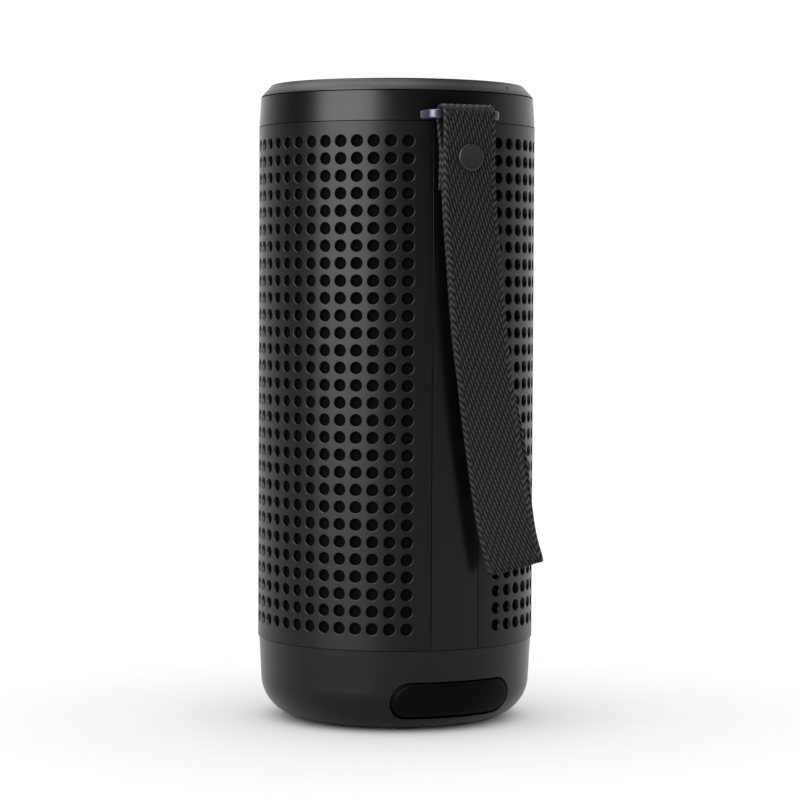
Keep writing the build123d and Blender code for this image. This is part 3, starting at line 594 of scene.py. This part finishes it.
def webbing():
    """Section of half width 7.5, rounded at its edges. The ribs' height is a raised cosine
    across a slanted line, gated along the rib, so that each rib is a row of short floats."""
    line = smooth_line(strap_path(), 0.6)
    s = np.concatenate([[0], np.cumsum(np.linalg.norm(np.diff(line[:, :3], axis=0), axis=1))])
    along = np.gradient(line[:, :3], axis=0)
    along /= np.linalg.norm(along, axis=1)[:, None]
    wide = line[:, 3:] - along * (line[:, 3:] * along).sum(1)[:, None]
    wide /= np.linalg.norm(wide, axis=1)[:, None]
    out = np.cross(along, wide)

    face = np.linspace(-FACE_HALF, FACE_HALF, 95)
    cap = np.linspace(0, pi, 7)[1:-1]
    bulge = FACE_HALF + EDGE_ROUND * np.sin(cap)
    w = np.concatenate([face, bulge, face[::-1], -bulge])
    n = np.concatenate([0 * face + 1, np.cos(cap), 0 * face - 1, -np.cos(cap)])
    ww, ss = w[None, :], s[:, None]
    across = (ww * cos(RIB_SLANT) - ss * sin(RIB_SLANT)) / RIB_PITCH
    rib = (0.5 + 0.5 * np.cos(2 * pi * across)) ** 1.6
    float_run = (ss * cos(RIB_SLANT) + ww * sin(RIB_SLANT)) / FLOAT_LENGTH
    float_run = float_run + 0.37 * np.floor(across + 0.5)
    gate = np.clip(1.6 * (0.5 + 0.5 * np.cos(2 * pi * float_run)), 0, 1)
    body = rib * (0.45 + 0.55 * gate)
    braid = 2 * pi * ss / BRAID_LENGTH + pi * (ww > 0) + 4.0 * (np.abs(ww) - 6.9)
    braid = 0.5 + 0.5 * np.cos(braid)
    edge = np.clip((np.abs(ww) - BRAID_START) / 0.25, 0, 1)
    height = body * (1 - edge) + braid * edge
    thick = (CORE + RELIEF * height) * n[None, :]
    points = (line[:, None, :3] + wide[:, None, :] * ww[..., None]
              + out[:, None, :] * thick[..., None])
    flat_ends = line[[0, -1], None, :3] + wide[[0, -1], None, :] * ww[..., None]
    points = np.concatenate([flat_ends[:1], points, flat_ends[1:]])
    uv = np.stack(np.broadcast_arrays(ww * MM, ss * MM), -1)
    uv = np.concatenate([uv[:1], uv, uv[-1:]])
    relief = np.concatenate([height[:1], height, height[-1:]])
    print("strap path", round(float(s[-1]), 1), "mm long")
    return points, grid_faces(len(points), w.size, close_columns=True), uv, relief


def nylon():
    """Black nylon: raised floats are painted paler, a painted highlight, and the grooves between
    them near black, a painted shade. The floats are also glossier, and fine threads run along the
    strap."""
    material = finish("nylon_black", (0.0045, 0.0045, 0.005), 0.45, 0.2, grain=0.25,
                      depth=0.012, vary=0.3, patch=1.6)
    tree = material.node_tree
    shader = tree.nodes["Principled BSDF"]
    shader.inputs["Sheen Weight"].default_value = 0.02
    shader.inputs["Sheen Roughness"].default_value = 0.4
    where = tree.nodes.new("ShaderNodeUVMap")
    where.uv_map = "along"
    thread = tree.nodes.new("ShaderNodeTexWave")
    thread.bands_direction = "X"
    thread.inputs["Scale"].default_value = 1100.0
    thread.inputs["Distortion"].default_value = 1.2
    tree.links.new(where.outputs["UV"], thread.inputs["Vector"])
    tree.links.new(lift(tree, thread.outputs["Fac"], 0.02), shader.inputs["Normal"])
    raised = tree.nodes.new("ShaderNodeAttribute")
    raised.attribute_name = "relief"
    # Painted highlight and painted shade: the floats' height makes them paler and the grooves
    # near black, and the floats glossier.
    painted_rib_light_and_gloss = spread(tree, raised.outputs["Fac"], 0.0, 1.0, 0.15, 0.95)
    tree.links.new(tint(tree, painted_rib_light_and_gloss, (0.0008, 0.0008, 0.0009), (0.034, 0.0336, 0.0348)),
                   shader.inputs["Base Color"])
    tree.links.new(spread(tree, painted_rib_light_and_gloss, 0.85, 0.33, 0.0, 1.0), shader.inputs["Roughness"])
    return material


strap_points, strap_faces, strap_uv, strap_relief = webbing()
strap = make_piece("webbing_strap", strap_points, strap_faces, 60, strap_uv, strap_relief)
place(strap, "strap", "nylon_webbing", nylon(), "strap_webbing")

# %% [markdown]
# ## The rivet
# A snap rivet is two turned caps on a shank. Its face is flat with a rounded rim, and the rim
# is what shows it, as a thin bright line. The profile is turned about the rivet's own axis.

# %% Rivet caps
RIVET_Z = 152.8


def turned_rivet(profile, count=72):
    """Profile of (radius, y) turned about the rivet's axis, which points to the back."""
    a = np.linspace(0, 2 * pi, count, endpoint=False)[None, :]
    r, y = np.array(profile, float).T[:, :, None]
    points = np.stack(np.broadcast_arrays(r * np.cos(a), y, RIVET_Z + r * np.sin(a)), -1)
    return points, grid_faces(len(profile), count, close_columns=True)


arc = np.linspace(0, pi / 2, 7)
cap_rim = [(3.2 + 0.4 * sin(a), -46.25 + 0.4 * (1 - cos(a))) for a in arc]
front_cap = [(0, -46.2), (2.0, -46.2), (2.8, -46.22), *cap_rim, (3.6, -45.5), (3.3, -45.4),
             (1.4, -45.4), (1.4, -40.85), (0, -40.85)]
place(make_piece("rivet_front", *turned_rivet(front_cap)), "strap", "rivet_metal",
      rivet_black, "strap_rivet_cap")
back_rim = [(3.3 + 0.3 * sin(a), -40.6 - 0.3 * (1 - cos(a))) for a in arc]
back_cap = [(0, -40.6), (2.5, -40.6), *back_rim, (3.6, -41.3), (1.42, -41.3), (1.42, -40.8),
            (0, -40.8)]
place(make_piece("rivet_rear", *turned_rivet(back_cap)), "strap", "rivet_metal",
      rivet_black, "strap_rivet_back")

# %% [markdown]
# ## The drivers' surrounds
# A cone moves in and out inside a rubber roll that stays on its frame. A real roll flexes, but
# only by a millimetre or so, so here it is split where it meets the cone: the roll stays still,
# and the lip that is glued to the cone goes with it. A thin slit is left between the two.

# %% Surround rolls and lips
def turned_ring(profile, height, count=96):
    """Closed profile of (radius, y) turned about a driver's axis at that height."""
    a = np.linspace(0, 2 * pi, count, endpoint=False)[None, :]
    r, y = np.array(profile, float).T[:, :, None]
    points = np.stack(np.broadcast_arrays(r * np.cos(a), y, height + r * np.sin(a)), -1)
    return points, grid_faces(len(profile), count, close_rows=True, close_columns=True)


ROLL_MIDDLE, ROLL_Y, ROLL_RADIUS, ROLL_THICKNESS = 15.575, 28.65, 1.225, 0.4
outer_arc = np.linspace(radians(19.06), pi, 15)
roll = [(17.7, 28.65), (17.7, 29.05)]
roll += [(ROLL_MIDDLE + ROLL_RADIUS * cos(a), ROLL_Y + ROLL_RADIUS * sin(a)) for a in outer_arc]
inside = ROLL_RADIUS - ROLL_THICKNESS
roll += [(ROLL_MIDDLE + inside * cos(a), ROLL_Y + inside * sin(a))
         for a in np.linspace(pi, 0, 15)]
lip = [(12.7, 27.93), (14.15, 27.93), (14.15, 28.6), (14.05, 28.67), (12.8, 28.67), (12.7, 28.6)]
for side in ("upper", "lower"):
    low, high = (np.array(corner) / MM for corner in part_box(f"{side}_driver_surround"))
    height = (low[2] + high[2]) / 2
    place(make_piece(f"{side}_surround_roll", *turned_ring(roll, height)), "root",
          "soft_rubber", inner_finishes["soft_rubber"], f"{side}_driver_surround")
    place(make_piece(f"{side}_surround_lip", *turned_ring(lip, height)), f"{side}_cone",
          "soft_rubber", inner_finishes["soft_rubber"])

# %% [markdown]
# ## Everything behind the skin
# The cloth, sockets, boards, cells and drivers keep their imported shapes. Each only gets the
# finish of what it is made of, so the opened model reads correctly.

# %% Finishes for the inner pieces
lens = finish("light_lens", (0.5, 0.52, 0.55), 0.25, 0.5, grain=0.4)
inner = {
    "grille_cloth": cloth_black, "status_light": lens, "microphone": inner_finishes["port_metal"],
    "usb_socket": inner_finishes["port_metal"], "card_slot": inner_finishes["port_metal"],
    "aux_jack": inner_finishes["component_black"],
    "battery_cells": inner_finishes["cell_wrap"],
    "battery_holder": inner_finishes["holder_plastic"],
    "battery_lead": inner_finishes["lead_wire"], "main_board": inner_finishes["board_laminate"],
    "key_board": inner_finishes["board_laminate"],
    "board_components": inner_finishes["component_black"],
    "tact_switches": inner_finishes["component_black"],
    "key_ribbon": inner_finishes["ribbon_film"],
}
groups = {
    "screws": "screw_steel", "chassis": "chassis_plastic", "seal": "soft_rubber",
    "surround": "soft_rubber",
    "frame": "basket_steel", "magnet": "magnet_iron", "cone": "cone_pulp",
    "plate": "radiator_steel",
}
for name, node in nodes.items():
    if node.hide_render:
        continue
    match = [kind for word, kind in groups.items() if word in name]
    material = inner.get(name) or inner_finishes[match[0]]
    node.data.materials.clear()
    node.data.materials.append(material)
print("inner pieces finished")

# %% [markdown]
# ## Floor, light and camera
# A black object on white is lit by what it reflects. A tall softbox on the left draws the long
# vertical highlight, a pale studio behind gives both edges a rim, and the camera's own side is
# left dark so the middle falls to black. The floor is matt white under an even dome of light,
# so it reads as a clean sweep and keeps only a soft shadow where the speaker stands. A studio
# would hang cards and flags for that. Here the sky answers matt and glossy rays differently.

# %% Floor
FLOOR_HALF = 6000.0
floor_points = np.array([(-1, -1, 0), (1, -1, 0), (1, 1, 0), (-1, 1, 0)]) * FLOOR_HALF
floor = make_piece("studio_floor", floor_points, np.array([[0, 1, 2, 3]]))
floor_white = finish("floor_white", (0.84, 0.84, 0.84), 0.95, 0.0, vary=0.004, depth=0.0)
floor.data.materials.append(floor_white)


# %% Lights
def softbox(name, place_at, aim, width, height, radiance):
    """Rectangle of light. Its power is pi times its area times its radiance."""
    light = bpy.data.lights.new(name, "AREA")
    light.shape = "RECTANGLE"
    light.size, light.size_y = width, height
    light.energy = radiance * pi * width * height
    lamp = bpy.data.objects.new(name, light)
    bpy.context.scene.collection.objects.link(lamp)
    lamp.location = place_at
    lamp.visible_diffuse = False
    direction = np.array(aim, float) - np.array(place_at, float)
    flat = np.hypot(direction[0], direction[1])
    lamp.rotation_euler = (pi / 2 + atan2(direction[2], flat), 0,
                           atan2(direction[1], direction[0]) - pi / 2)
    print(name, "radiance", radiance)


softbox("key_softbox", (-0.92, -0.391, 0.5), (0, 0, 0.09), 1.0, 1.0, 9.3)
softbox("overhead_softbox", (-0.25, 0.1, 0.95), (0, 0, 0.09), 1.0, 1.0, 3.6)

studio = bpy.data.worlds.new("studio")
bpy.context.scene.world = studio
studio.use_nodes = True
tree = studio.node_tree
tree.nodes.clear()
surface = tree.nodes.new("ShaderNodeOutputWorld")
where = tree.nodes.new("ShaderNodeTexCoord")
bright = tree.nodes.new("ShaderNodeVectorMath")
bright.operation = "DOT_PRODUCT"
bright.inputs[1].default_value = (0.62, 0.78, 0.0)
tree.links.new(where.outputs["Generated"], bright.inputs[0])
wall = spread(tree, bright.outputs["Value"], 0.02, 1.3, -0.1, 0.75)
seen = tree.nodes.new("ShaderNodeLightPath")


def sky(strength):
    """White light from all round, of one strength."""
    light = tree.nodes.new("ShaderNodeBackground")
    light.inputs["Color"].default_value = (1, 1, 1, 1)
    light.inputs["Strength"].default_value = strength
    return light.outputs["Background"]


def choose(ray, otherwise, chosen):
    """One light for a kind of ray, and another for the rest."""
    mix = tree.nodes.new("ShaderNodeMixShader")
    tree.links.new(seen.outputs[ray], mix.inputs["Fac"])
    tree.links.new(otherwise, mix.inputs[1])
    tree.links.new(chosen, mix.inputs[2])
    return mix.outputs["Shader"]


cards = sky(1.0)
tree.links.new(wall, cards.node.inputs["Strength"])
matt = choose("Is Diffuse Ray", cards, sky(1.3))
tree.links.new(choose("Is Camera Ray", matt, sky(1.05)), surface.inputs["Surface"])

# %% Camera
yaw, pitch, roll = radians(0.087), radians(2.32), radians(0.266)
eye = np.array([-0.3252, -0.6935, 0.11855])
heading = atan2(-eye[1], -eye[0]) - yaw
forward = np.array([cos(heading) * cos(pitch), sin(heading) * cos(pitch), -sin(pitch)])
right = np.cross(forward, (0, 0, 1))
right /= np.linalg.norm(right)
up = np.cross(right, forward)
right, up = right * cos(roll) + up * sin(roll), up * cos(roll) - right * sin(roll)
camera = bpy.data.objects.new("camera", bpy.data.cameras.new("camera"))
bpy.context.scene.collection.objects.link(camera)
camera.data.lens, camera.data.sensor_width = 124.3, 36.0
rows = [[right[k], up[k], -forward[k], eye[k]] for k in range(3)] + [[0, 0, 0, 1]]
camera.matrix_world = Matrix(rows)
bpy.context.scene.camera = camera
bpy.context.scene.view_settings.view_transform = "Standard"
